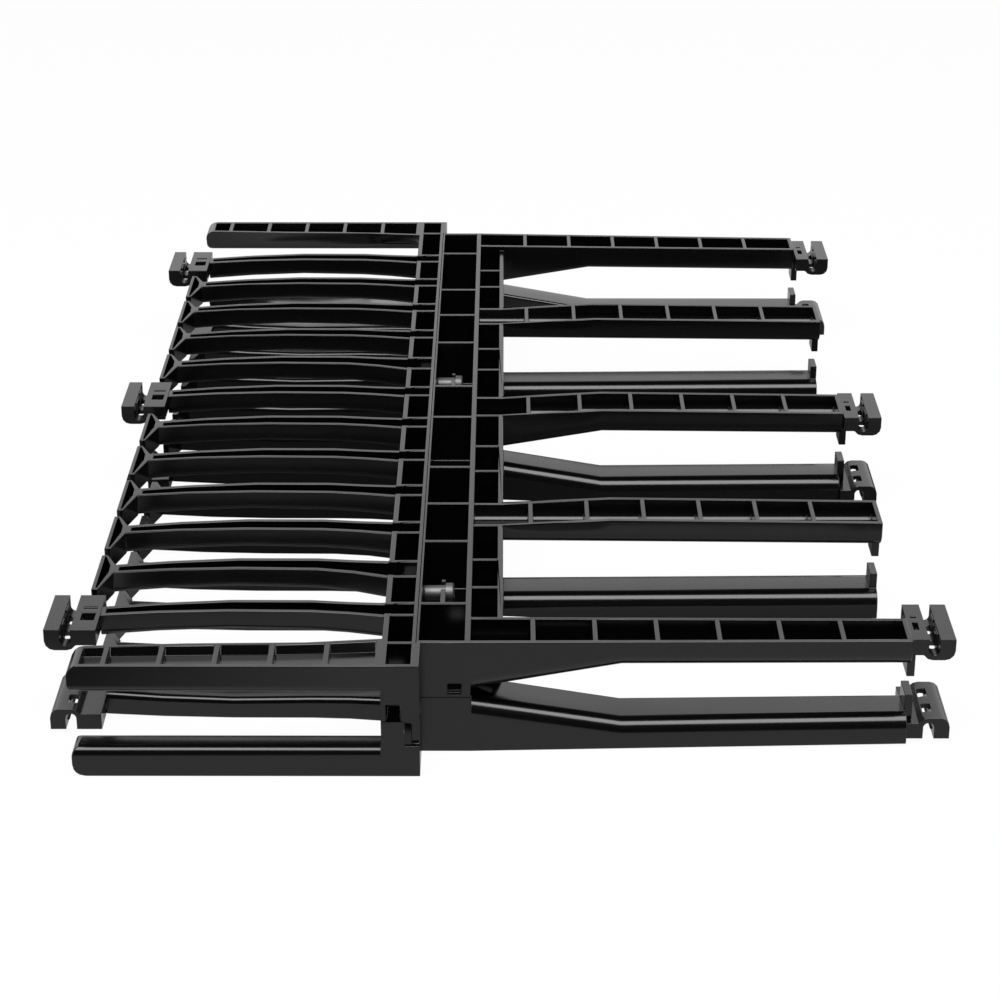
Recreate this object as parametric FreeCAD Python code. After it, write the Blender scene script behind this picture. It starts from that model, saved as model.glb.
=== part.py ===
import FreeCAD, Part
import math
import os

os.makedirs("parts", exist_ok=True)

V = FreeCAD.Vector

# Outer sizes, in mm
PANEL_WIDTH = 482.6          # nineteen inch rack panel
PANEL_HEIGHT = 43.66         # one rack unit panel
POST_ROOM = 17.8             # the rear comb is narrower by this at each end
REAR_WIDTH = PANEL_WIDTH - 2 * POST_ROOM
HALF = PANEL_HEIGHT / 2      # each comb is half of the height
END = PANEL_WIDTH / 2
REAR_END = REAR_WIDTH / 2

# Walls
RAIL = 2.0                   # long walls of the spines
RIB = 1.8                    # cross ribs and finger walls
BACK_WALL = 1.5              # front comb, against the rear comb
MATING_WALL = 0.9            # rear comb, against the front comb
FLOOR = 2.0                  # closed bottom of a deep pocket
SKIN = 1.8                   # bottom of a finger or arm trough
FIT = 0.1                    # clearance between pieces that push together
ROUND_STEPS = 4              # flats along a rounded lower edge

# Joining screws and nuts
SCREW_RADIUS = 3.0
SCREW_PLAY = 0.2
SCREW_HOLE = SCREW_RADIUS + SCREW_PLAY
SCREW_DEPTH = 10.2           # screw axis under the top face
HEAD_RADIUS = 3.9
HEAD_LENGTH = 3.2
SADDLE_FRONT = 7.4           # plate that the screw head bears on
SADDLE_THICK = 1.8
SADDLE_DROP = 6.8            # top of the plate under the top face
SADDLE_LIP = 1.6             # plate past the slot at its free end
NUT_FLATS = 10.0
NUT_PLAY = 0.5               # nut to the ribs at its sides
NUT_THICK = 5.0
SCREW_PAST_NUT = 1.5
UPPER_SCREWS = (4, 10)
LOWER_SCREWS = (1, 7)

# Front comb
FRONT_SPINE = 12.0           # depth of the front spine
NECK = 114.2                 # mating plane to the shoulder behind a tip
TIP_DEEP = 6.2               # depth of a T tip at its middle
FRONT_TIP = NECK + TIP_DEEP
FINGER_REACH = NECK - FRONT_SPINE
FINGER_COUNT = 12
END_ROOM = 32.8              # panel end to the first finger space
FINGER_PITCH = (PANEL_WIDTH - 2 * END_ROOM) / FINGER_COUNT
FINGER_SHIFT = 7.3           # the row of inner fingers sits off centre
CHANNEL_SHIFT = 0.5          # channel in the spine against the finger's tip
CHANNEL_HALF = NUT_FLATS / 2 + NUT_PLAY + RIB / 2
PLAIN_ROOT = 4.4             # near side of a finger without a nut, at its root
FINGER_DEEP = 9.3            # height of a finger
FINGER_ROUND = 2.2           # rounded lower edges
FINGER_RISE = 1.6            # arch under the middle of a finger
TIP_SINK = 1.0               # underside of a finger end below that of its root
END_FINGER_WIDTH = 18.8
END_FINGER_DEEP = 11.1
END_FINGER_ROUND = 3.4       # rounded lower edges of the end fingers
END_CLOSED = 12.0            # width of the closed side, under the leaning inner wall
END_NOSE = 4.5               # rounded nose of the end fingers
TIP_HALF = 14.5              # half length of a T tip
TIP_EDGE = 2.4               # depth of a T tip at its ends
TIP_WALL = 1.4
TIP_FALL = 1.7               # top of a finger end under the top face
END_RIB_FIRST = 30.9         # first cross rib of an end finger
END_RIB_LAST = 12.7          # last cross rib to the nose
END_RIB_COUNT = 5
END_RIB_STEP = (FRONT_TIP - END_RIB_LAST - END_RIB_FIRST) / (END_RIB_COUNT - 1)
NEAR_RECESS = 3.2            # shallow trough of the end finger at +X
FAR_RECESS = 6.4             # deep trough of the end finger at -X
CLIP_FINGERS = (0, 5, 11)

# Rear comb
SECOND_RAIL = 17.0           # start of the second long wall
THIRD_RAIL = 28.4            # start of the third long wall
REAR_SPINE = THIRD_RAIL + RAIL
LEDGE_DROP = 2.5             # the outer pocket row sits this much lower
ARM_TIP = 174.7              # mating plane to the ends of the arms with clips
TAB_PAST = 2.2               # end tabs and plain arms reach past that
PLAIN_TIP = ARM_TIP + TAB_PAST
ARM_DEEP = 10.6              # height of an arm
ARM_FALL = 1.2               # the arm end sits this much lower than the top
ARM_ROUND = 5.6              # rounded lower edges of the arms
INNER_ROUND = 1.4            # rounded inner edge of the outer arms
ARM_HALF = 10.8              # half width of the three inner arms
PLAIN_PLACE = 0.4944 * REAR_END
OUTER_ARM_ROOT = 20.0        # width of an outer arm at its root
OUTER_ARM_TIP = 18.0
OUTER_ARM_INSET = 3.4        # outer wall moves in by this at the tip
ARM_RIB_FIRST = 41.1
ARM_RIB_LAST = 24.1          # last cross rib to the arm end
ARM_RIB_COUNT = 6
ARM_RIB_STEP = (ARM_TIP - ARM_RIB_LAST - ARM_RIB_FIRST) / (ARM_RIB_COUNT - 1)
HAUNCH_START = 1.3           # height of the throat at the second rail
HAUNCH_END = 72.5            # the haunch and the rise of an arm end here
TAB_THICK = 2.9
TAB_LOW = 3.7                # mid-plane to the end of a tab
MIDDLE_RIBS = [REAR_END * share for share in (0.0779, 0.3132, 0.4725, 0.6264, 0.8617)]
OUTER_RIBS = [REAR_END * share for share in (0.1924, 0.3060, 0.6756, 0.7803)]
RIB_ROOM = 4.0               # least distance from an arm to a rib
LEDGE_LENGTH = 5.5           # small ledge on the floor of an outer pocket
LEDGE_RISE = 6.0

# Hinge clips
CLIP_LENGTH = 28.0
FRONT_CLIP_BODY = 8.1        # part that caps the T bar
REAR_CLIP_BODY = 5.2
CLIP_SHIFT = -1.5            # clips of the front comb against the finger
CLIP_LINER = 1.0             # inner wall of the rod channel
CLIP_SLOT = 3.9              # rod channel width
CLIP_OUTER = 5.6             # outer wall
CLIP_DEEP = 8.2
CLIP_BOTTOM = 1.9            # under the rod channel
CLIP_ROUND = 3.6
CLIP_INSET = 20.0            # end of the rear comb to the middle of its clip
CLIP_OFFSET = REAR_END - CLIP_INSET
BAR_HALF = 9.0               # T bar that a clip is pushed on
BAR_SHORT = 2.1              # T bar shorter than the part that caps it
BAR_LOW = 3.6                # T bar above the clip's underside
BAR_HIGH = 2.0               # T bar under the clip's top
LIP = 1.6                    # clip wall under the bar and beside the hatch
HATCH = (0.5, 6.0)           # opening over the bar
SLIT = (-4.2, -3.0)          # spring slit beside the hatch
HATCH_EDGE = 1.5             # wall between the hatch and the rod channel
REAR_CLIP_FALL = 0.7         # clip top under the arm end
WINDOW_LENGTH = 5.6
WINDOW_EDGE = 0.3
TOOTH = 0.55                 # teeth narrow the rod channel by this
TOOTH_RISE = 2.4

# Rack fixing
EAR_INSET = 8.75             # panel end to the rack hole
RACK_PLACE = END - EAR_INSET
RACK_HOLE = 3.5
EAR_STEP = 1.5               # the ears reach behind the mating plane to the rack posts
TONGUE_HALF = 6.4
TONGUE_RISE = 6.6
ACCESS_RADIUS = 6.6

# Windows in the end faces: front and back depth, bottom and top height
UPPER_NOTCH = (-10.2, -5.2, -1.0, 6.7)
LOWER_NOTCH = (-3.7, EAR_STEP + 1, -1.0, 9.8)
REAR_NOTCH = (10.9, 15.7, 1.0, 5.4)
UPPER_NOTCH_DEEP = 6.0       # reaches into the end pocket
LOWER_NOTCH_DEEP = 2.3

UNDER = HALF - FINGER_DEEP
TIP_UNDER = UNDER - TIP_SINK
END_UNDER = HALF - END_FINGER_DEEP
ARM_UNDER = HALF - ARM_DEEP
ARM_ROOT = REAR_SPINE - 1.0  # an arm starts inside the third rail


def box(x0, x1, y0, y1, z0, z1):
    """A block between two corners, given in any order."""
    x0, x1 = sorted((x0, x1))
    y0, y1 = sorted((y0, y1))
    z0, z1 = sorted((z0, z1))
    return Part.makeBox(x1 - x0, y1 - y0, z1 - z0, V(x0, y0, z0))


def prism(outline, z0, z1):
    """A plan outline carried upwards."""
    points = [V(x, y, z0) for x, y in outline]
    return Part.Face(Part.makePolygon(points + points[:1])).extrude(V(0, 0, z1 - z0))


def side_plate(outline, x0, x1):
    """An outline in the depth and height plane carried along the rack width."""
    points = [V(x0, y, z) for y, z in outline]
    return Part.Face(Part.makePolygon(points + points[:1])).extrude(V(x1 - x0, 0, 0))


def corner(radius):
    """Steps around a rounded corner, from its upright side to its level side."""
    if radius <= 0:
        return [(0, 0)]
    turns = [math.pi / 2 * i / ROUND_STEPS for i in range(ROUND_STEPS + 1)]
    return [(radius * (1 - math.cos(a)), radius * (1 - math.sin(a))) for a in turns]


def trough_section(y, x0, x1, z0, z1, first, second):
    """A closed section at one depth, with the radius of each of its two lower corners."""
    left = [V(x0 + dx, y, z0 + dz) for dx, dz in corner(first)]
    right = [V(x1 - dx, y, z0 + dz) for dx, dz in reversed(corner(second))]
    points = [V(x0, y, z1)] + left + right + [V(x1, y, z1)]
    return Part.makePolygon(points + points[:1])


def plain_section(y, x0, x1, z0, z1):
    """A closed rectangular section at one depth."""
    points = [V(x0, y, z0), V(x1, y, z0), V(x1, y, z1), V(x0, y, z1)]
    return Part.makePolygon(points + points[:1])


def joined(shapes):
    """Shapes fused into one solid with merged faces."""
    return shapes[0].multiFuse(shapes[1:]).removeSplitter()


def both_sides(places):
    """Places given for one side, with their mirror images, in order."""
    return sorted([-x for x in places] + list(places))


def finger_place(index):
    return FINGER_SHIFT + FINGER_PITCH * (index - (FINGER_COUNT - 1) / 2)


def channel_place(index):
    return finger_place(index) + CHANNEL_SHIFT


def near_rib(index, screws):
    """Near rib of a finger's channel in the spine; it makes room for a nut where a screw ends."""
    if index in screws:
        return CHANNEL_SHIFT + CHANNEL_HALF
    return PLAIN_ROOT - RIB / 2


# Stations of an inner finger: depth, far side, near side, share of the root's width, rise below, fall above
FINGER_STATIONS = (
    (FRONT_SPINE - 1.0, -6.9, 0.8, 1.0, 0.0, 0.5),
    (FRONT_SPINE + 0.1272 * FINGER_REACH, -7.4, 0.8, 0.38, 0.6, 0.3),
    (FRONT_SPINE + 0.2593 * FINGER_REACH, -8.5, 0.8, 0.08, 1.1, 0.1),
    (FRONT_SPINE + 0.5479 * FINGER_REACH, -8.4, 0.8, 0.0, FINGER_RISE, 0.0),
    (FRONT_SPINE + 0.7975 * FINGER_REACH, -7.2, 0.8, 0.0, 0.6, 0.6),
    (NECK, -6.2, 0.9, 0.0, -TIP_SINK, TIP_FALL),
)

# Stations of an end finger: depth and change of its width
END_STATIONS = (
    (FRONT_SPINE - 1.0, 2.2),
    (FRONT_SPINE + 0.1272 * FINGER_REACH, 0.8),
    (FRONT_SPINE + 0.2593 * FINGER_REACH, -0.7),
    (FRONT_SPINE + 0.6654 * FINGER_REACH, -1.5),
    (FRONT_TIP, -3.6),
)


def finger_sides(index, screws, station):
    """Far and near side of a finger at one of its stations."""
    depth, far, near, share, rise, fall = station
    root = near_rib(index, screws) + RIB / 2
    return finger_place(index) + far, finger_place(index) + near + (root - near) * share


def finger_body(index, screws):
    """Outside of an inner finger: flared at the root, arched under and over."""
    sections = []
    for station in FINGER_STATIONS:
        far, near = finger_sides(index, screws, station)
        low = UNDER + station[4]
        high = HALF - station[5]
        sections.append(trough_section(-station[0], far, near, low, high, FINGER_ROUND, FINGER_ROUND))
    return Part.makeLoft(sections, True, True)


def finger_channel(index, screws):
    """The open trough in the top of an inner finger, running into its channel in the spine."""
    low = UNDER + FINGER_RISE + SKIN
    depths = [station[0] for station in FINGER_STATIONS]
    depths[0] = FRONT_SPINE - RAIL - 0.5
    depths[-1] = NECK - RIB
    sections = []
    for depth, station in zip(depths, FINGER_STATIONS):
        far, near = finger_sides(index, screws, station)
        sections.append(plain_section(-depth, far + RIB, near - RIB, low, HALF + 1))
    return Part.makeLoft(sections, True, True)


def tip_outline(place, inset):
    """Plan of a T tip, moved in by the wall for its pocket."""
    outer = -FRONT_TIP + inset
    ends = TIP_HALF - inset
    edge = -FRONT_TIP + TIP_EDGE - inset * 0.3
    back = -NECK - inset * 1.3
    far = FINGER_STATIONS[-1][1] + inset * 0.4
    near = FINGER_STATIONS[-1][2] - inset * 0.4
    return [(place - ends, outer), (place + ends, outer), (place + ends, edge),
            (place + near, back), (place + far, back), (place - ends, edge)]


def tip_body(index):
    return prism(tip_outline(finger_place(index), 0), TIP_UNDER, HALF - TIP_FALL)


def tip_pocket(index):
    return prism(tip_outline(finger_place(index), TIP_WALL), TIP_UNDER + SKIN, HALF + 1)


def t_bar(place, shoulder, way, body, fall):
    """The bar on a finger end that a hinge clip is pushed over."""
    low = HALF - fall - CLIP_DEEP + BAR_LOW
    high = HALF - fall - BAR_HIGH
    reach = way * (body - BAR_SHORT)
    return box(place - BAR_HALF, place + BAR_HALF, shoulder, shoulder + reach, low, high)


def end_width(depth):
    """Width of an end finger at one depth."""
    for (d0, w0), (d1, w1) in zip(END_STATIONS, END_STATIONS[1:]):
        if depth <= d1:
            return END_FINGER_WIDTH + w0 + (w1 - w0) * (depth - d0) / (d1 - d0)
    return END_FINGER_WIDTH + END_STATIONS[-1][1]


def end_wall(depth, height):
    """Distance from the outer face of an end finger to its leaning inner wall."""
    width = end_width(depth)
    return width - (width - END_CLOSED) * (HALF - height) / END_FINGER_DEEP


def end_section(side, depth):
    """Section of an end finger: upright outer wall, leaning inner wall, rounded lower corners."""
    outer = [(dx, END_UNDER + dz) for dx, dz in corner(END_FINGER_ROUND)]
    inner = [(END_CLOSED - x, z) for x, z in reversed(outer)]
    outline = [(0, HALF)] + outer + inner + [(end_width(depth), HALF)]
    points = [V(side * (END - x), -depth, z) for x, z in outline]
    return Part.makePolygon(points + points[:1])


def end_finger(side):
    """Wide finger at one end of the front comb, with a rounded nose."""
    body = Part.makeLoft([end_section(side, depth) for depth, change in END_STATIONS], True, True)
    root = -FRONT_SPINE + 1.0
    outline = [(root, HALF)]
    outline += [(-FRONT_TIP + dy, HALF - dz) for dy, dz in reversed(corner(END_NOSE))]
    outline += [(-FRONT_TIP + dy, END_UNDER + dz) for dy, dz in corner(END_FINGER_ROUND)]
    outline += [(root, END_UNDER)]
    return body.common(side_plate(outline, side * (END - 2 * END_FINGER_WIDTH), side * (END + 1)))


def end_finger_troughs(side, recess):
    """Shallow boxes between the cross ribs of an end finger."""
    stops = [FRONT_SPINE + RIB / 2]
    stops += [END_RIB_FIRST + END_RIB_STEP * i for i in range(END_RIB_COUNT)]
    stops.append(FRONT_TIP - END_NOSE + RIB / 2)
    cuts = []
    for start, stop in zip(stops, stops[1:]):
        y0 = start + RIB / 2
        y1 = stop - RIB / 2
        layers = []
        for z in (HALF - recess, HALF + 1):
            plan = [(RIB, y0), (RIB, y1), (end_wall(y1, z) - RIB, y1), (end_wall(y0, z) - RIB, y0)]
            points = [V(side * (END - x), -y, z) for x, y in plan]
            layers.append(Part.makePolygon(points + points[:1]))
        cuts.append(Part.makeLoft(layers, True, True))
    return cuts


def front_spine_pockets(screws):
    """Deep pockets between the throat wall and the back wall."""
    walls = [-END + RIB, -END + END_FINGER_WIDTH - RIB, -END + END_FINGER_WIDTH]
    for index in range(FINGER_COUNT):
        for rib in (CHANNEL_SHIFT - CHANNEL_HALF, near_rib(index, screws)):
            middle = finger_place(index) + rib
            walls += [middle - RIB / 2, middle + RIB / 2]
    walls += [END - END_FINGER_WIDTH, END - END_FINGER_WIDTH + RIB, END - RIB]
    return [box(a, b, -FRONT_SPINE + RAIL, -BACK_WALL, FLOOR, HALF + 1)
            for a, b in zip(walls[0::2], walls[1::2])]


def screw_holes(indices, length):
    """Round holes for the joining screws through the two mating walls."""
    starts = [V(channel_place(i), -length, HALF - SCREW_DEPTH) for i in indices]
    return [Part.makeCylinder(SCREW_HOLE, 2 * length, start, V(0, 1, 0)) for start in starts]


def rack_cuts(tongue):
    """Room for the rack screws at the parting plane: ear notch, driver access and open ear floor."""
    cuts = []
    for centre in (-RACK_PLACE, RACK_PLACE):
        if not tongue:
            cuts.append(box(centre - TONGUE_HALF - FIT, centre + TONGUE_HALF + FIT, -BACK_WALL,
                            EAR_STEP + 1, -1, TONGUE_RISE + FIT))
        cuts.append(box(centre - TONGUE_HALF, centre + TONGUE_HALF, -FRONT_SPINE + RAIL, -BACK_WALL,
                        -1, FLOOR + 1))
        cuts.append(Part.makeCylinder(ACCESS_RADIUS, RAIL + 2, V(centre, -FRONT_SPINE - 1, 0), V(0, 1, 0)))
    return cuts


def rack_tongues():
    """Ear tongues of the lower comb that carry the rack holes; drawn below the plane, then mirrored up."""
    return [box(x - TONGUE_HALF, x + TONGUE_HALF, -BACK_WALL, EAR_STEP, -TONGUE_RISE, 0.5)
            for x in (-RACK_PLACE, RACK_PLACE)]


def front_comb(screws, tongue):
    """The upper front moulding; the lower one is its mirror image with the tongues."""
    parts = [box(-END, END, -FRONT_SPINE, 0, 0, HALF)]
    for side in (-1, 1):
        parts.append(end_finger(side))
        parts.append(box(side * (REAR_END + FIT), side * END, -BACK_WALL, EAR_STEP, 0, HALF))
    cuts = front_spine_pockets(screws)
    cuts += end_finger_troughs(-1, FAR_RECESS) + end_finger_troughs(1, NEAR_RECESS)
    for index in range(FINGER_COUNT):
        parts.append(finger_body(index, screws))
        cuts.append(finger_channel(index, screws))
        if index in CLIP_FINGERS:
            place = finger_place(index) + CLIP_SHIFT
            parts.append(t_bar(place, -NECK, -1, FRONT_CLIP_BODY, TIP_FALL))
        else:
            parts.append(tip_body(index))
            cuts.append(tip_pocket(index))
    cuts += screw_holes(screws, BACK_WALL + 1)
    cuts += rack_cuts(tongue)
    notch, deep = (LOWER_NOTCH, LOWER_NOTCH_DEEP) if tongue else (UPPER_NOTCH, UPPER_NOTCH_DEEP)
    for side in (-1, 1):
        cuts.append(box(side * (END - deep), side * (END + 1), *notch))
    body = joined(parts).cut(cuts)
    if tongue:
        body = joined([body] + rack_tongues())
        length = BACK_WALL + EAR_STEP + 2
        body = body.cut([Part.makeCylinder(RACK_HOLE, length, V(x, -BACK_WALL - 1, 0), V(0, 1, 0))
                         for x in (-RACK_PLACE, RACK_PLACE)])
    return body


def haunch_height(depth):
    """Height of the sloping throat at one depth."""
    return HAUNCH_START + (ARM_UNDER - HAUNCH_START) * (depth - SECOND_RAIL) / (HAUNCH_END - SECOND_RAIL)


def arm_stations(place, haunched):
    """Depth, low and high side, underside and top of one arm from root to end."""
    outer = abs(place) > PLAIN_PLACE + 1
    root = SECOND_RAIL + 1.0 if outer else ARM_ROOT
    end = ARM_TIP if haunched else PLAIN_TIP
    stations = []
    for depth, fall in ((root, LEDGE_DROP), (HAUNCH_END, 0.0), (end, ARM_FALL)):
        share = (depth - root) / (end - root)
        under = ARM_UNDER - ARM_FALL * share
        if outer:
            side = 1 if place > 0 else -1
            wall = REAR_END - OUTER_ARM_INSET * share
            width = OUTER_ARM_ROOT + (OUTER_ARM_TIP - OUTER_ARM_ROOT) * share
            low, high = sorted((side * wall, side * (wall - width)))
            fall = ARM_FALL * share
        else:
            low, high = place - ARM_HALF, place + ARM_HALF
        if haunched and depth < HAUNCH_END:
            under = haunch_height(depth)
        stations.append((depth, low, high, under, HALF - fall))
    return stations


def arm_rounds(place):
    """Radius of the low and of the high lower edge of an arm."""
    if abs(place) <= PLAIN_PLACE + 1:
        return ARM_ROUND, ARM_ROUND
    return (INNER_ROUND, ARM_ROUND) if place > 0 else (ARM_ROUND, INNER_ROUND)


def arm_body(place, haunched):
    """One arm with rounded lower edges, its haunch where it has one, and its end tab."""
    stations = arm_stations(place, haunched)
    rounds = arm_rounds(place)
    body = Part.makeLoft([trough_section(*station, *rounds) for station in stations], True, True)
    end, low, high, under, top = stations[-1]
    tab_top = HALF - ARM_FALL - REAR_CLIP_FALL - CLIP_DEEP + BAR_LOW - LIP - FIT
    tab = box(low + rounds[0], high - rounds[1], PLAIN_TIP - TAB_THICK, PLAIN_TIP, TAB_LOW, tab_top)
    return joined([body, tab])


def arm_width(stations, depth):
    """Low and high side of an arm at one depth."""
    depth = min(max(depth, stations[0][0]), stations[-1][0])
    for first, second in zip(stations, stations[1:]):
        if depth <= second[0]:
            share = (depth - first[0]) / (second[0] - first[0])
            return tuple(first[i] + (second[i] - first[i]) * share for i in (1, 2))


def arm_troughs(place, haunched):
    """Boxes between the cross ribs of one arm, running back to the second rail."""
    stations = arm_stations(place, haunched)
    rounds = [radius - RIB for radius in arm_rounds(place)]
    ribs = [ARM_RIB_FIRST + ARM_RIB_STEP * i for i in range(ARM_RIB_COUNT)]
    stops = [SECOND_RAIL + RAIL - RIB / 2] + ribs + [stations[-1][0] - RIB / 2]
    cuts = []
    for start, stop in zip(stops, stops[1:]):
        y0 = start + RIB / 2
        y1 = stop - RIB / 2
        floor = ARM_UNDER + SKIN
        if haunched and y0 < HAUNCH_END:
            floor = min(floor, haunch_height(y1) + SKIN + 1)
        sections = []
        for y in (y0, y1):
            low, high = arm_width(stations, y)
            sections.append(trough_section(y, low + RIB, high - RIB, floor, HALF + 1, *rounds))
        cuts.append(Part.makeLoft(sections, True, True))
    return cuts


def rear_pockets(arms):
    """Deep pockets of the middle row and of the outer row, with the places of the ledges."""
    ledges = []
    middle = [-REAR_END + RIB]
    for x in both_sides(MIDDLE_RIBS):
        middle += [x - RIB / 2, x + RIB / 2]
    middle.append(REAR_END - RIB)
    cuts = [box(a, b, MATING_WALL, SECOND_RAIL, FLOOR, HALF + 1) for a, b in zip(middle[0::2], middle[1::2])]
    spans = sorted(arm_stations(*arm)[0][1:3] for arm in arms)
    for left, right in zip(spans, spans[1:]):
        walls = [left[1]]
        for x in both_sides(OUTER_RIBS):
            if left[1] + RIB_ROOM < x < right[0] - RIB_ROOM:
                walls += [x - RIB / 2, x + RIB / 2]
        walls.append(right[0])
        for a, b in zip(walls[0::2], walls[1::2]):
            cuts.append(box(a, b, SECOND_RAIL + RAIL, THIRD_RAIL, FLOOR, HALF + 1))
            ledges.append((a + b) / 2)
    return cuts, ledges


def pocket_ledge(place):
    """Low rib on the floor in the middle of an outer pocket."""
    middle = (SECOND_RAIL + RAIL + THIRD_RAIL) / 2
    return box(place - RIB / 2, place + RIB / 2, middle - LEDGE_LENGTH / 2, middle + LEDGE_LENGTH / 2,
               FLOOR - 0.5, FLOOR + LEDGE_RISE)


def saddle(index):
    """Upright plate in a middle pocket with an open slot for a screw."""
    place = channel_place(index)
    wall = min(x for x in both_sides(MIDDLE_RIBS) + [REAR_END] if x > place)
    plate = box(place - SCREW_HOLE - SADDLE_LIP, wall, SADDLE_FRONT, SADDLE_FRONT + SADDLE_THICK,
                FLOOR - 0.5, HALF - SADDLE_DROP)
    axis = V(place, SADDLE_FRONT - 1, HALF - SCREW_DEPTH)
    round_cut = Part.makeCylinder(SCREW_HOLE, SADDLE_THICK + 2, axis, V(0, 1, 0))
    slot_cut = box(place - SCREW_HOLE, place + SCREW_HOLE, SADDLE_FRONT - 1, SADDLE_FRONT + SADDLE_THICK + 1,
                   HALF - SCREW_DEPTH, HALF + 1)
    return plate.cut([round_cut, slot_cut])


def rear_arms():
    """Place of each arm, and whether it has a haunch."""
    outer = REAR_END - OUTER_ARM_ROOT / 2
    return [(-outer, True), (-PLAIN_PLACE, False), (0.0, True), (PLAIN_PLACE, False), (outer, True)]


def rear_comb(screws, notched):
    """The upper rear moulding; the lower one is its mirror image without the end notches."""
    arms = rear_arms()
    parts = [box(-REAR_END, REAR_END, 0, REAR_SPINE, 0, HALF)]
    cuts, ledges = rear_pockets(arms)
    shelf = REAR_END - OUTER_ARM_ROOT
    cuts.append(box(-shelf, shelf, SECOND_RAIL + RAIL, REAR_SPINE + 1, HALF - LEDGE_DROP, HALF + 1))
    for side in (-1, 1):
        cuts.append(box(side * shelf, side * (REAR_END + 1), SECOND_RAIL + RAIL, REAR_SPINE + 1,
                        -1, HALF + 1))
    body = joined(parts).cut(cuts)
    limbs = []
    troughs = []
    for arm in arms:
        limbs.append(arm_body(*arm))
        troughs += arm_troughs(*arm)
    body = joined([body] + limbs).cut(troughs)
    bars = [t_bar(place, ARM_TIP, 1, REAR_CLIP_BODY, ARM_FALL + REAR_CLIP_FALL)
            for place in (-CLIP_OFFSET, 0.0, CLIP_OFFSET)]
    stops = [pocket_ledge(x) for x in ledges]
    body = joined([body] + bars + stops + [saddle(i) for i in UPPER_SCREWS + LOWER_SCREWS])
    body = body.cut(screw_holes(screws, MATING_WALL + 1))
    if notched:
        ends = (-1, 1)
        body = body.cut([box(end * (REAR_END + 1), end * (REAR_END - RIB), *REAR_NOTCH) for end in ends])
    return body


def hinge_clip(place, shoulder, way, cap, fall):
    """Cap over a T bar with a U channel for a cover rod; open upwards, with two windows and teeth."""
    half = CLIP_LENGTH / 2
    top = HALF - fall
    low = top - CLIP_DEEP
    slot_in = cap + CLIP_LINER
    slot_out = slot_in + CLIP_SLOT
    outside = slot_out + CLIP_OUTER
    slot_low = low + CLIP_BOTTOM + CLIP_SLOT / 2
    r = CLIP_ROUND
    steps = [math.radians(a) for a in (0, 30, 60, 90)]
    outline = [(0, top), (0, low + BAR_LOW - LIP), (cap - 1, low + BAR_LOW - LIP)]
    outline += [(cap - 1 + r - r * math.cos(a), low + r - r * math.sin(a)) for a in steps[1:]]
    outline += [(outside - r + r * math.sin(a), low + r - r * math.cos(a)) for a in steps]
    outline += [(outside, top)]
    body = side_plate([(shoulder + way * v, z) for v, z in outline], place - half, place + half)
    cuts = []
    rod = V(place - half - 1, shoulder + way * (slot_in + CLIP_SLOT / 2), slot_low)
    cuts.append(Part.makeCylinder(CLIP_SLOT / 2, CLIP_LENGTH + 2, rod, V(1, 0, 0)))
    cuts.append(box(place - half - 1, place + half + 1, shoulder + way * slot_in, shoulder + way * slot_out,
                    slot_low, top + 1))
    bar_low = low + BAR_LOW - FIT
    bar_high = top - BAR_HIGH + FIT
    cuts.append(box(place - BAR_HALF - FIT, place + BAR_HALF + FIT, shoulder - way,
                    shoulder + way * (cap - BAR_SHORT + FIT), bar_low, bar_high))
    for start, stop in (HATCH, SLIT):
        cuts.append(box(place + start, place + stop, shoulder + way * LIP,
                        shoulder + way * (cap - HATCH_EDGE), bar_high - 0.5, top + 1))
    for centre in (-WINDOW_LENGTH, WINDOW_LENGTH):
        start = place + centre - WINDOW_LENGTH / 2
        cuts.append(box(start, start + WINDOW_LENGTH, shoulder + way * (slot_in + WINDOW_EDGE),
                        shoulder + way * (slot_out - WINDOW_EDGE), low - 1, slot_low))
    body = body.cut(cuts)
    teeth = []
    for centre in (-WINDOW_LENGTH, WINDOW_LENGTH):
        start = place + centre - WINDOW_LENGTH / 2
        root = shoulder + way * (slot_out + TOOTH)
        point = shoulder + way * (slot_out - TOOTH)
        wedge = [(root, top - TOOTH_RISE), (point, top - TOOTH_RISE * 0.6), (point, top - TOOTH_RISE * 0.4),
                 (root, top - TOOTH_RISE * 0.1)]
        teeth.append(side_plate(wedge, start, start + WINDOW_LENGTH))
    return joined([body] + teeth)


def joining_screw(index):
    """Pan head screw along the depth, its head bearing on the saddle."""
    place = channel_place(index)
    seat = SADDLE_FRONT + SADDLE_THICK
    tail = -BACK_WALL - NUT_THICK - SCREW_PAST_NUT
    axis = HALF - SCREW_DEPTH
    shank = Part.makeCylinder(SCREW_RADIUS, seat - tail + 1, V(place, tail, axis), V(0, 1, 0))
    head = Part.makeCylinder(HEAD_RADIUS, HEAD_LENGTH, V(place, seat, axis), V(0, 1, 0))
    return joined([shank, head])


def joining_nut(index):
    """Hexagon nut held in the finger channel against the back wall."""
    place = channel_place(index)
    axis = HALF - SCREW_DEPTH
    reach = NUT_FLATS / math.sqrt(3)
    angles = [math.radians(30 + 60 * i) for i in range(6)]
    points = [V(place + reach * math.cos(a), -BACK_WALL, axis + reach * math.sin(a)) for a in angles]
    nut = Part.Face(Part.makePolygon(points + points[:1])).extrude(V(0, -NUT_THICK, 0))
    start = V(place, -2 * NUT_THICK - BACK_WALL, axis)
    return nut.cut(Part.makeCylinder(SCREW_RADIUS, 3 * NUT_THICK, start, V(0, 1, 0)))


def flipped(shape):
    """The mirror image under the parting plane."""
    return shape.mirror(V(0, 0, 0), V(0, 0, 1))


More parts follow.
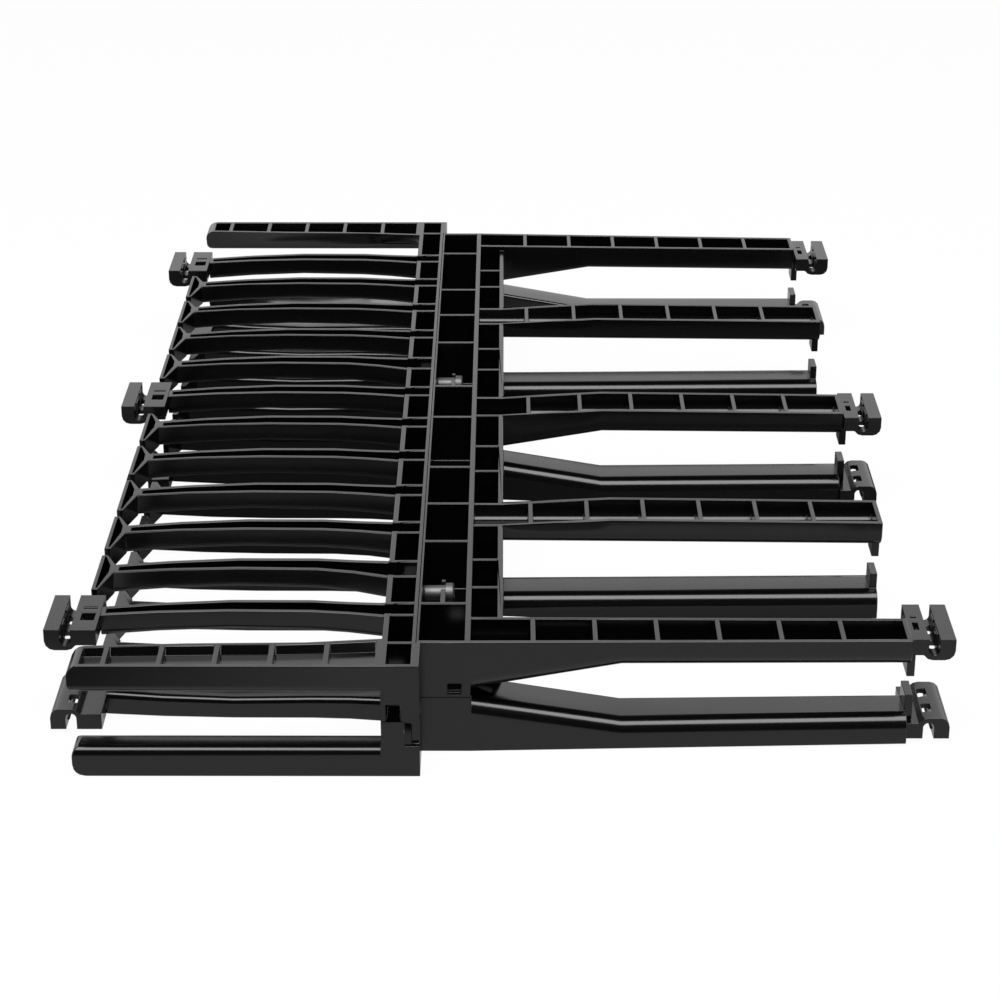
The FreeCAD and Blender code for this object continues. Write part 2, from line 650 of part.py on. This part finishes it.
def save(name, shapes):
    """One node, made of one solid or of a group of separate solids, moved to the plane of the rack posts."""
    solids = [solid for shape in shapes for solid in shape.Solids]
    shape = solids[0] if len(solids) == 1 else Part.makeCompound(solids)
    shape.translated(V(0, -EAR_STEP, 0)).exportStep("parts/" + name + ".step")


def build():
    save("front_upper_comb", [front_comb(UPPER_SCREWS, False)])
    save("front_lower_comb", [flipped(front_comb(LOWER_SCREWS, True))])
    save("rear_upper_comb", [rear_comb(UPPER_SCREWS, True)])
    save("rear_lower_comb", [flipped(rear_comb(LOWER_SCREWS, False))])
    words = ("far", "middle", "near")
    for word, index, centre in zip(words, CLIP_FINGERS, (-CLIP_OFFSET, 0.0, CLIP_OFFSET)):
        front = hinge_clip(finger_place(index) + CLIP_SHIFT, -NECK, -1, FRONT_CLIP_BODY, TIP_FALL)
        rear = hinge_clip(centre, ARM_TIP, 1, REAR_CLIP_BODY, ARM_FALL + REAR_CLIP_FALL)
        save("front_upper_clip_" + word, [front])
        save("front_lower_clip_" + word, [flipped(front)])
        save("rear_upper_clip_" + word, [rear])
        save("rear_lower_clip_" + word, [flipped(rear)])
    screws = [joining_screw(i) for i in UPPER_SCREWS] + [flipped(joining_screw(i)) for i in LOWER_SCREWS]
    nuts = [joining_nut(i) for i in UPPER_SCREWS] + [flipped(joining_nut(i)) for i in LOWER_SCREWS]
    save("joining_screws", screws)
    save("joining_nuts", nuts)


build()
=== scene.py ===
import math

import bmesh
import bpy
import numpy as np
from bpy.props import FloatProperty, FloatVectorProperty, IntProperty, PointerProperty
from bpy.types import Operator, Panel, PropertyGroup
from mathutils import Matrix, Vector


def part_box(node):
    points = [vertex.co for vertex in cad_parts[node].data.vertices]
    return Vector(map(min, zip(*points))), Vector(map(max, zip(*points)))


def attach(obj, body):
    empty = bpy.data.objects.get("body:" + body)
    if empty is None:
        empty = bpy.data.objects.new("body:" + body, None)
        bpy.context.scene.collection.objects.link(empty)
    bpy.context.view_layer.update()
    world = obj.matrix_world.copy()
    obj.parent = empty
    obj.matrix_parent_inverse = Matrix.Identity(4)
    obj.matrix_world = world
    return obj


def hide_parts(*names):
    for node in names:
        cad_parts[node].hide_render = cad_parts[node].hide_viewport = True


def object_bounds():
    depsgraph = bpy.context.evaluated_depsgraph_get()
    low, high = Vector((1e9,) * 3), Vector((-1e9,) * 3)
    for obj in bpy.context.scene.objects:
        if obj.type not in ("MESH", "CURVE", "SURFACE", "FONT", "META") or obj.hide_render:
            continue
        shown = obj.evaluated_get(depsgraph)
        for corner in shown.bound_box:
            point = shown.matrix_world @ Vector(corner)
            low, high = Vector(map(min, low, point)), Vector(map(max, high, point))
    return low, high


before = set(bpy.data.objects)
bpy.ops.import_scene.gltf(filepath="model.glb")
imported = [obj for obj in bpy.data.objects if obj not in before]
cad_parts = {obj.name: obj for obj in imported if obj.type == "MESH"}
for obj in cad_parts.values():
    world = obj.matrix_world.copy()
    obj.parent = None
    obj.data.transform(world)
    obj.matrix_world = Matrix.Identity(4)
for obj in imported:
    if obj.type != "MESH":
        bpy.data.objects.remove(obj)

bl_info = {
    "name": "Rack cable manager",
    "version": (1, 0, 0),
    "blender": (4, 5, 0),
    "location": "View3D > Sidebar > Cable manager",
    "description": "Finishes for a one unit rack cable manager",
    "category": "Object",
}

# Axes of the frame: along the rack width, from front to rear, and up
WIDTH, DEPTH, HEIGHT = 0, 1, 2

CAD_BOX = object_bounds()
BODY = "root"
COMBS = ("front_upper_comb", "front_lower_comb", "rear_upper_comb", "rear_lower_comb")
CLIPS = tuple(sorted(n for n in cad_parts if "_clip_" in n))

# Turn between faces above which an edge is a corner, in degrees
CORNER = 36.0

# Turn between triangles below which they join into one flat face, in degrees
FLAT = 0.4

# Points of a copied solid this close become one, and edges shorter than a sliver go, in metres
MERGE = 3e-5
SLIVER = MERGE / 10

# Points of a turned body this close become one, in metres
SAME_POINT = 1e-6

# Planes where the combs meet: upper with lower at mid height, front with rear across the depth
PARTING_PLANE = 0.0
MATING_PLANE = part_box("rear_upper_comb")[0][DEPTH]

# Fine gap that shows where two combs meet, in metres
PARTING_GAP = 0.0003

# Sizes of the marks in each finish, in metres
ABS_FLOW = 0.018
ABS_GRAIN = 0.0007
ACETAL_GRAIN = 0.0006
STEEL_MARKS = 0.0005

# Height of the moulded grain in metres, and how strongly it turns the light
GRAIN_HEIGHT = 0.00005
GRAIN_STRENGTH = 0.06

# Roughness of each finish, at the low and the high end of its marks
ABS_ROUGHNESS = (0.13, 0.21)
ACETAL_ROUGHNESS = (0.17, 0.24)
STEEL_ROUGHNESS = (0.46, 0.62)

# Refractive index of each plastic
ABS_INDEX = 1.52
ACETAL_INDEX = 1.48

WHITE = (1.0, 1.0, 1.0, 1.0)

# Fasteners of one node stand further apart than this along the rack width, in metres
FASTENER_SPACE = 0.02

# Points round a turned body, rows to each pitch of a thread, points across the rounded rim of a head
TURN_STEPS = 48
THREAD_STEPS = 8
RIM_STEPS = 5

# Thread: depth and run-out as shares of the pitch, and the place across the depth where it ends
THREAD_DEPTH = 0.6
THREAD_RUN_OUT = 0.1
THREAD_END = 0.0

# Screw head: rim radius and recess depths as shares of its height, recess half width as one of its radius
RIM_RADIUS = 0.3
RECESS_WALL = 0.55
RECESS_MIDDLE = 0.6
RECESS_HALF = 0.4

# Nut: slope of the cone that cuts its corners in degrees, countersink of its bore in metres
NUT_CONE = 30.0
COUNTERSINK = 0.0004

# Camera fitted to the photograph: place in metres, tilt and turn in degrees, lens and sensor in millimetres
CAMERA_PLACE = (1.0423, 0.0296, 0.4477)
CAMERA_TILT = 24.38
CAMERA_TURN = 0.116
CAMERA_LENS = 94.79
CAMERA_SENSOR = 36.0

# Soft box above and beyond the near end: sizes along width and depth and place in metres, power in watts
BOX_SIZE = (1.05, 1.5)
BOX_PLACE = (0.67, 0.0, 1.5)
BOX_POWER = 33.0

# Floor: height and half width in metres, and the share of plain white in what the camera sees of it
FLOOR_LEVEL = CAD_BOX[0][HEIGHT]
FLOOR_REACH = 6.0
FLOOR_WHITE = 0.96

# Painted shade of the floor as reflections see it, darker under the object: spans in metres along the width
# from its middle, and its brightness there
PAINTED_SHADE_MIDDLE = -0.02
PAINTED_SHADE_SPAN = (0.08, 0.22)
PAINTED_SHADE_LEVELS = (0.10, 0.60)

# Painted shade of the floor as reflections see it, falling off past the near end towards the front: spans
# in metres along the depth and the width, and the share that is left
FRONT_SPAN = (-0.13, -0.025)
OUTER_SPAN = (0.26, 0.30)
PAINTED_FALL_LEVELS = (1.0, 0.25)

# Studio walls fade upwards and towards the camera: span of that part of a direction, and brightness
WALL_TOP_SPAN = (0.56, 0.66)
WALL_TOP_LEVELS = (1.1, 0.02)
WALL_SIDE_SPAN = (0.6, 0.8)
WALL_SIDE_LEVELS = (1.0, 0.03)


def linear(code):
    """Linear colour from an sRGB hex code such as #1a1a1c, by the curve of the sRGB standard."""
    parts = [int(code[i:i + 2], 16) / 255 for i in (1, 3, 5)]
    return tuple(c / 12.92 if c <= 0.04045 else ((c + 0.055) / 1.055) ** 2.4 for c in parts)


class ManagerSizes(PropertyGroup):
    """Sizes of the finishing details."""
    comb_edge: FloatProperty(name="Comb edge", description="Radius of the moulded comb edges",
                             default=0.0003, min=0.0, unit="LENGTH", precision=5)
    clip_edge: FloatProperty(name="Clip edge", description="Radius of the moulded clip edges",
                             default=0.0002, min=0.0, unit="LENGTH", precision=5)
    shank: FloatProperty(name="Screw radius", description="Radius of the joining screws over the thread",
                         default=0.003, min=0.0, unit="LENGTH", precision=5)
    head: FloatProperty(name="Screw head", description="Height of the screw heads",
                        default=0.0032, min=0.0, unit="LENGTH", precision=5)
    pitch: FloatProperty(name="Thread pitch", description="Distance from one thread to the next",
                         default=0.001, min=0.0, unit="LENGTH", precision=5)
    edge_steps: IntProperty(name="Edge steps", description="Faces across a rounded edge",
                            default=2, min=1, max=4)


class ManagerColours(PropertyGroup):
    """Colours of the materials and of the stage."""
    comb: FloatVectorProperty(name="Comb", description="Black of the moulded combs",
                              subtype="COLOR", size=3, default=linear("#060607"), min=0.0, max=1.0)
    clip: FloatVectorProperty(name="Clip", description="Black of the hinge clips",
                              subtype="COLOR", size=3, default=linear("#0d0e0f"), min=0.0, max=1.0)
    steel: FloatVectorProperty(name="Steel", description="Zinc plated steel",
                               subtype="COLOR", size=3, default=linear("#787977"), min=0.0, max=1.0)
    floor: FloatVectorProperty(name="Floor", description="Pale studio floor",
                               subtype="COLOR", size=3, default=linear("#f4f4f4"), min=0.0, max=1.0)


def add(tree, kind, settings=None, **links):
    """Adds a node, sets its attributes and values, and links named inputs to output sockets."""
    node = tree.nodes.new(kind)
    for key, value in (settings or {}).items():
        if hasattr(node, key):
            setattr(node, key, value)
        else:
            node.inputs[int(key[1:]) if key[0] == "_" else key].default_value = value
    for key, source in links.items():
        socket = node.inputs[int(key[1:])] if key[0] == "_" else node.inputs[key.replace("_", " ")]
        tree.links.new(source, socket)
    return node


def noise(tree, size, detail):
    """Noise fixed to the object, with marks about as wide as size in metres."""
    place = add(tree, "ShaderNodeTexCoord").outputs["Object"]
    marks = add(tree, "ShaderNodeTexNoise", {"Scale": 1 / size, "Detail": detail}, Vector=place)
    return marks.outputs["Fac"]


def ramp(tree, value, levels, span=(0.0, 1.0)):
    """Goes from the first level to the second as the value crosses the span, and holds beyond both ends."""
    settings = {"From Min": span[0], "From Max": span[1], "To Min": levels[0], "To Max": levels[1]}
    return add(tree, "ShaderNodeMapRange", settings, Value=value).outputs["Result"]


def product(tree, first, second):
    """One value times another."""
    return add(tree, "ShaderNodeMath", {"operation": "MULTIPLY"}, _0=first, _1=second).outputs["Value"]


def mixed(tree, choice, first, second):
    """The first shader where the choice is 0, the second where it is 1."""
    return add(tree, "ShaderNodeMixShader", _0=choice, _1=first, _2=second).outputs["Shader"]


def blank_material(name):
    """A new material with an empty node tree."""
    material = bpy.data.materials.new(name)
    material.use_nodes = True
    material.node_tree.nodes.clear()
    return material, material.node_tree


def plastic_skin(tree, colour, index, rough, grain):
    """Surface of a moulded plastic with a fine raised grain."""
    bump = add(tree, "ShaderNodeBump", {"Strength": GRAIN_STRENGTH, "Distance": GRAIN_HEIGHT}, Height=grain)
    skin = add(tree, "ShaderNodeBsdfPrincipled", {"Base Color": (*colour, 1.0), "IOR": index},
               Roughness=rough, Normal=bump.outputs["Normal"])
    add(tree, "ShaderNodeOutputMaterial", Surface=skin.outputs["BSDF"])


def moulded_abs(colour):
    """Injection moulded ABS: deep black, satin to glossy, with faint flow marks and a fine grain."""
    material, tree = blank_material("moulded_black_abs")
    flow = noise(tree, ABS_FLOW, detail=3.0)
    grain = noise(tree, ABS_GRAIN, detail=2.0)
    plastic_skin(tree, colour, ABS_INDEX, ramp(tree, flow, ABS_ROUGHNESS), grain)
    return material


def moulded_acetal(colour):
    """Moulded acetal clip: a little greyer and more matt than the combs."""
    material, tree = blank_material("moulded_black_acetal")
    grain = noise(tree, ACETAL_GRAIN, detail=3.0)
    plastic_skin(tree, colour, ACETAL_INDEX, ramp(tree, grain, ACETAL_ROUGHNESS), grain)
    return material


def zinc_steel(colour):
    """Zinc plated steel: dull grey metal with a finely uneven sheen."""
    material, tree = blank_material("zinc_plated_steel")
    rough = ramp(tree, noise(tree, STEEL_MARKS, detail=2.0), STEEL_ROUGHNESS)
    skin = add(tree, "ShaderNodeBsdfPrincipled", {"Base Color": (*colour, 1.0), "Metallic": 1.0},
               Roughness=rough)
    add(tree, "ShaderNodeOutputMaterial", Surface=skin.outputs["BSDF"])
    return material


def linked(name, data):
    """A new object at the origin, linked to the scene."""
    item = bpy.data.objects.new(name, data)
    bpy.context.scene.collection.objects.link(item)
    return item


def mesh_points(mesh):
    """Points of a mesh as rows of three."""
    flat = np.empty(len(mesh.vertices) * 3)
    mesh.vertices.foreach_get("co", flat)
    return flat.reshape(-1, 3)


def flush(points):
    """Points as close as MERGE to a side of their box, moved onto it, so that no hair thin step is left."""
    for side in (points.min(axis=0), points.max(axis=0)):
        points = np.where(np.abs(points - side) < MERGE, side, points)
    return points


def shade_smooth(bm):
    """Smooth faces all over, with the corners kept sharp."""
    for face in bm.faces:
        face.smooth = True
    for edge in bm.edges:
        edge.smooth = len(edge.link_faces) == 2 and edge.calc_face_angle(0.0) < math.radians(CORNER)


def meeting_planes(node):
    """Planes where a comb meets the other combs: axis, place, and the way from the plane into the comb."""
    return ((HEIGHT, PARTING_PLANE, 1 if "upper" in node else -1),
            (DEPTH, MATING_PLANE, 1 if "rear" in node else -1))


def merged_copy(node, name, planes=()):
    """A copy of a CAD node: loose triangles merged, flat areas joined, corners kept sharp for shading.

    Faces on the given planes are drawn back by half the parting gap, and their corners get no rounding.
    """
    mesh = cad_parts[node].data.copy()
    mesh.name = name
    points = flush(mesh_points(mesh))
    for axis, place, way in planes:
        points[np.abs(points[:, axis] - place) < MERGE, axis] = place + way * PARTING_GAP / 2
    mesh.vertices.foreach_set("co", points.ravel())
    bm = bmesh.new()
    bm.from_mesh(mesh)
    bmesh.ops.remove_doubles(bm, verts=bm.verts, dist=MERGE)
    bmesh.ops.dissolve_degenerate(bm, dist=SLIVER, edges=bm.edges)
    bmesh.ops.join_triangles(bm, faces=bm.faces, angle_face_threshold=math.radians(FLAT),
                             angle_shape_threshold=math.pi)
    shade_smooth(bm)
    rounding = bm.edges.layers.float.new("bevel_weight_edge")
    for edge in bm.edges:
        parting = any(all(abs(vert.co[axis] - place) < PARTING_GAP for vert in edge.verts)
                      for axis, place, _ in planes)
        edge[rounding] = 0.0 if edge.smooth or parting else 1.0
    bm.to_mesh(mesh)
    bm.free()
    return linked(name, mesh)


def rounded(piece, radius, steps):
    """Rounds the weighted corners of a piece with a bevel, and keeps its flat faces looking flat."""
    bevel = piece.modifiers.new("moulded edge", "BEVEL")
    bevel.width = radius
    bevel.segments = steps
    bevel.limit_method = "WEIGHT"
    bevel.use_clamp_overlap = False
    bevel.miter_outer = "MITER_ARC"
    level = piece.modifiers.new("level faces", "WEIGHTED_NORMAL")
    level.mode = "FACE_AREA"
    level.keep_sharp = True


def place_piece(piece, material, node):
    """Gives a piece its material and its body in the frame, and hides the CAD node that it takes the place
    of.
    """
    piece.data.materials.clear()
    piece.data.materials.append(material)
    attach(piece, BODY)
    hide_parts(node)


class MANAGER_OT_combs(Operator):
    """Puts moulded edges and the black finish on the four combs"""
    bl_idname = "manager.combs"
    bl_label = "Combs"

    def execute(self, context):
        sizes = context.scene.manager_sizes
        black = moulded_abs(context.scene.manager_colours.comb)
        for node in COMBS:
            piece = merged_copy(node, node + "_moulding", meeting_planes(node))
            rounded(piece, sizes.comb_edge, sizes.edge_steps)
            place_piece(piece, black, node)
        return {"FINISHED"}


class MANAGER_OT_clips(Operator):
    """Puts rounded edges and the more matt finish on the hinge clips"""
    bl_idname = "manager.clips"
    bl_label = "Hinge clips"

    def execute(self, context):
        sizes = context.scene.manager_sizes
        grey = moulded_acetal(context.scene.manager_colours.clip)
        for node in CLIPS:
            piece = merged_copy(node, node + "_moulding")
            rounded(piece, sizes.clip_edge, sizes.edge_steps)
            place_piece(piece, grey, node)
        return {"FINISHED"}


def separate_boxes(node):
    """Low and high corner of each fastener of a node, found as groups along the rack width."""
    points = mesh_points(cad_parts[node].data)
    points = points[np.argsort(points[:, WIDTH])]
    breaks = np.nonzero(np.diff(points[:, WIDTH]) > FASTENER_SPACE)[0] + 1
    return [(group.min(axis=0), group.max(axis=0)) for group in np.split(points, breaks)]


def full_turn():
    """Angles once round a turned body."""
    return np.linspace(0, 2 * math.pi, TURN_STEPS, endpoint=False)


def hexagon(turn, half):
    """Radius of a hexagon at each angle: half / cos of the angle from the nearest flat, flats facing +X."""
    return half / np.cos(np.mod(turn + math.pi / 6, math.pi / 3) - math.pi / 6)


def turned(centre, rings, turn):
    """Grid of a body turned about the depth: (x + r cos a, y, z + r sin a) for each ring (y, r)."""
    along = np.array([np.broadcast_to(y, turn.shape) for y, r in rings])
    radius = np.array([np.broadcast_to(r, turn.shape) for y, r in rings])
    across = centre[WIDTH] + radius * np.cos(turn)
    up = centre[HEIGHT] + radius * np.sin(turn)
    return np.stack((across, along, up), axis=-1)


def screw_grid(low, high, sizes):
    """Pan head screw with a hexagon recess.

    Thread: r = R - t |2 frac(y / p - a / 2 pi) - 1|. Rim of the head: a quarter circle.
    """
    turn = full_turn()
    tip, top = low[DEPTH], high[DEPTH]
    seat = top - sizes.head
    head = (high[WIDTH] - low[WIDTH]) / 2
    shank, pitch = sizes.shank, sizes.pitch
    groove = THREAD_DEPTH * pitch
    rim = RIM_RADIUS * sizes.head
    arc = np.linspace(0, math.pi / 2, RIM_STEPS)
    recess = hexagon(turn, RECESS_HALF * head)
    rings = [(tip, 0.0), (tip, shank - groove), (tip + pitch / 2, shank - groove / 2)]
    for y in np.arange(tip + pitch, THREAD_END, pitch / THREAD_STEPS):
        wave = np.abs(2 * np.mod(y / pitch - turn / (2 * math.pi), 1.0) - 1)
        rings.append((y, shank - groove * wave))
    rings += [(THREAD_END + THREAD_RUN_OUT * pitch, shank), (seat, shank), (seat, head)]
    rings += zip(top - rim + rim * np.sin(arc), head - rim + rim * np.cos(arc))
    rings += [(top, recess), (top - RECESS_WALL * sizes.head, recess)]
    rings += [(top - RECESS_MIDDLE * sizes.head, 0.0)]
    return turned((low + high) / 2, rings, turn)


def nut_grid(low, high, sizes):
    """Hexagon nut: corners cut back by a cone, r = hexagon(a), and a bore with a small countersink."""
    turn = full_turn()
    half = (high[WIDTH] - low[WIDTH]) / 2
    outline = hexagon(turn, half)
    fall = (outline - half) * math.tan(math.radians(NUT_CONE))
    bore = sizes.shank
    side = [(COUNTERSINK, bore), (0.0, bore + COUNTERSINK), (0.0, half), (fall, outline)]
    rings = [(low[DEPTH] + y, r) for y, r in side] + [(high[DEPTH] - y, r) for y, r in reversed(side)]
    return turned((low + high) / 2, rings, turn)


def grid_piece(name, grids, ring):
    """One mesh from several grids of points; columns close on themselves, rows too when ring is set."""
    places = []
    faces = []
    start = 0
    for grid in grids:
        rows, columns = grid.shape[:2]
        index = start + np.arange(rows * columns).reshape(rows, columns)
        below = index if ring else index[:-1]
        above = np.roll(index, -1, axis=0) if ring else index[1:]
        quads = np.stack((below, np.roll(below, -1, axis=1), np.roll(above, -1, axis=1), above), axis=-1)
        places.append(grid.reshape(-1, 3))
        faces.append(quads.reshape(-1, 4))
        start += rows * columns
    mesh = bpy.data.meshes.new(name)
    mesh.from_pydata(np.concatenate(places).tolist(), [], np.concatenate(faces).tolist())
    bm = bmesh.new()
    bm.from_mesh(mesh)
    bmesh.ops.remove_doubles(bm, verts=bm.verts, dist=SAME_POINT)
    bmesh.ops.recalc_face_normals(bm, faces=bm.faces)
    shade_smooth(bm)
    bm.to_mesh(mesh)
    bm.free()
    return linked(name, mesh)


class MANAGER_OT_fasteners(Operator):
    """Makes the joining screws with thread and recess, and the chamfered nuts, in plated steel"""
    bl_idname = "manager.fasteners"
    bl_label = "Screws and nuts"

    def execute(self, context):
        sizes = context.scene.manager_sizes
        steel = zinc_steel(context.scene.manager_colours.steel)
        for node, form, ring in (("joining_screws", screw_grid, False), ("joining_nuts", nut_grid, True)):
            grids = [form(low, high, sizes) for low, high in separate_boxes(node)]
            piece = grid_piece(node + "_turned", grids, ring)
            place_piece(piece, steel, node)
        return {"FINISHED"}


def studio_floor(colour):
    """Pale floor that shows white to the camera and keeps a soft shadow.

    Reflections see a painted shade on it: darker under the object, and falling off past the near end
    towards the front.
    """
    material, tree = blank_material("studio_floor")
    # Painted shade: the floor's brightness in reflections is set by place, lower under the object and past
    # the near end towards the front
    place = add(tree, "ShaderNodeTexCoord").outputs["Object"]
    axis = add(tree, "ShaderNodeSeparateXYZ", _0=place).outputs
    offset = add(tree, "ShaderNodeMath", {"operation": "SUBTRACT", "_1": PAINTED_SHADE_MIDDLE}, _0=axis["X"])
    away = add(tree, "ShaderNodeMath", {"operation": "ABSOLUTE"}, _0=offset.outputs["Value"])
    shade = ramp(tree, away.outputs["Value"], PAINTED_SHADE_LEVELS, PAINTED_SHADE_SPAN)
    front = ramp(tree, axis["Y"], (1.0, 0.0), FRONT_SPAN)
    outer = ramp(tree, axis["X"], (0.0, 1.0), OUTER_SPAN)
    painted_fall = ramp(tree, product(tree, front, outer), PAINTED_FALL_LEVELS)
    painted_shade_level = product(tree, shade, painted_fall)
    ray = add(tree, "ShaderNodeLightPath").outputs
    matt = add(tree, "ShaderNodeBsdfDiffuse", {"Color": (*colour, 1.0)}).outputs["BSDF"]
    white = add(tree, "ShaderNodeEmission", {"Color": WHITE, "Strength": 1.0}).outputs["Emission"]
    painted_shade_in_reflections = add(tree, "ShaderNodeEmission", {"Color": WHITE}, Strength=painted_shade_level).outputs["Emission"]
    seen = add(tree, "ShaderNodeMixShader", {"Fac": FLOOR_WHITE}, _1=matt, _2=white).outputs["Shader"]
    plain = mixed(tree, ray["Is Camera Ray"], matt, seen)
    add(tree, "ShaderNodeOutputMaterial", Surface=mixed(tree, ray["Is Glossy Ray"], plain, painted_shade_in_reflections))
    return material


def studio_world():
    """White walls up to about 38 degrees, dark overhead and on the camera's side, white to the camera."""
    world = bpy.data.worlds.new("studio")
    world.use_nodes = True
    tree = world.node_tree
    tree.nodes.clear()
    way = add(tree, "ShaderNodeTexCoord").outputs["Generated"]
    axis = add(tree, "ShaderNodeSeparateXYZ", _0=way).outputs
    low = ramp(tree, axis["Z"], WALL_TOP_LEVELS, WALL_TOP_SPAN)
    behind = ramp(tree, axis["X"], WALL_SIDE_LEVELS, WALL_SIDE_SPAN)
    walls = add(tree, "ShaderNodeBackground", {"Color": WHITE}, Strength=product(tree, low, behind))
    plain = add(tree, "ShaderNodeBackground", {"Color": WHITE, "Strength": 1.0})
    ray = add(tree, "ShaderNodeLightPath").outputs["Is Camera Ray"]
    both = mixed(tree, ray, walls.outputs["Background"], plain.outputs["Background"])
    add(tree, "ShaderNodeOutputWorld", Surface=both)
    return world


def floor_plane(colour):
    """Square floor at the lowest level of the object."""
    mesh = bpy.data.meshes.new("floor")
    signs = ((-1, -1), (1, -1), (1, 1), (-1, 1))
    corners = [(FLOOR_REACH * x, FLOOR_REACH * y, FLOOR_LEVEL) for x, y in signs]
    mesh.from_pydata(corners, [], [(0, 1, 2, 3)])
    mesh.materials.append(studio_floor(colour))
    return linked("floor", mesh)


def soft_box():
    """Soft box that shines straight down."""
    light = bpy.data.lights.new("overhead_box", "AREA")
    light.shape = "RECTANGLE"
    light.size, light.size_y = BOX_SIZE
    light.energy = BOX_POWER
    linked("overhead_box", light).location = BOX_PLACE


def fitted_camera():
    """Camera at the near end, looking along the rack width."""
    lens = bpy.data.cameras.new("camera")
    lens.lens = CAMERA_LENS
    lens.sensor_width = CAMERA_SENSOR
    camera = linked("camera", lens)
    camera.location = CAMERA_PLACE
    camera.rotation_euler = (math.radians(90 - CAMERA_TILT), 0.0, math.radians(90 + CAMERA_TURN))
    return camera


class MANAGER_OT_stage(Operator):
    """Sets the floor, the white walls, the soft box and the camera"""
    bl_idname = "manager.stage"
    bl_label = "Stage"

    def execute(self, context):
        scene = context.scene
        floor = floor_plane(scene.manager_colours.floor)
        scene.world = studio_world()
        soft_box()
        scene.camera = fitted_camera()
        scene.view_settings.view_transform = "Standard"
        return {"FINISHED"}


class MANAGER_PT_sidebar(Panel):
    """Lists the values and the steps of the cable manager"""
    bl_label = "Cable manager"
    bl_idname = "MANAGER_PT_sidebar"
    bl_space_type = "VIEW_3D"
    bl_region_type = "UI"
    bl_category = "Cable manager"

    def draw(self, context):
        for group in (context.scene.manager_sizes, context.scene.manager_colours):
            for key in group.__annotations__:
                self.layout.prop(group, key)
        for step in STEPS:
            self.layout.operator(step.bl_idname)


STEPS = (MANAGER_OT_combs, MANAGER_OT_clips, MANAGER_OT_fasteners, MANAGER_OT_stage)
GROUPS = {"manager_sizes": ManagerSizes, "manager_colours": ManagerColours}


def register():
    """Registers the classes and hangs the value groups on the scene."""
    for item in (*GROUPS.values(), *STEPS, MANAGER_PT_sidebar):
        bpy.utils.register_class(item)
    for key, group in GROUPS.items():
        setattr(bpy.types.Scene, key, PointerProperty(type=group))


def unregister():
    """Takes away what register added."""
    for key in GROUPS:
        delattr(bpy.types.Scene, key)
    for item in (MANAGER_PT_sidebar, *reversed(STEPS), *reversed(list(GROUPS.values()))):
        bpy.utils.unregister_class(item)


def main():
    """Builds every piece and the stage."""
    register()
    bpy.ops.manager.combs()
    bpy.ops.manager.clips()
    bpy.ops.manager.fasteners()
    bpy.ops.manager.stage()


if __name__ == "__main__":
    main()
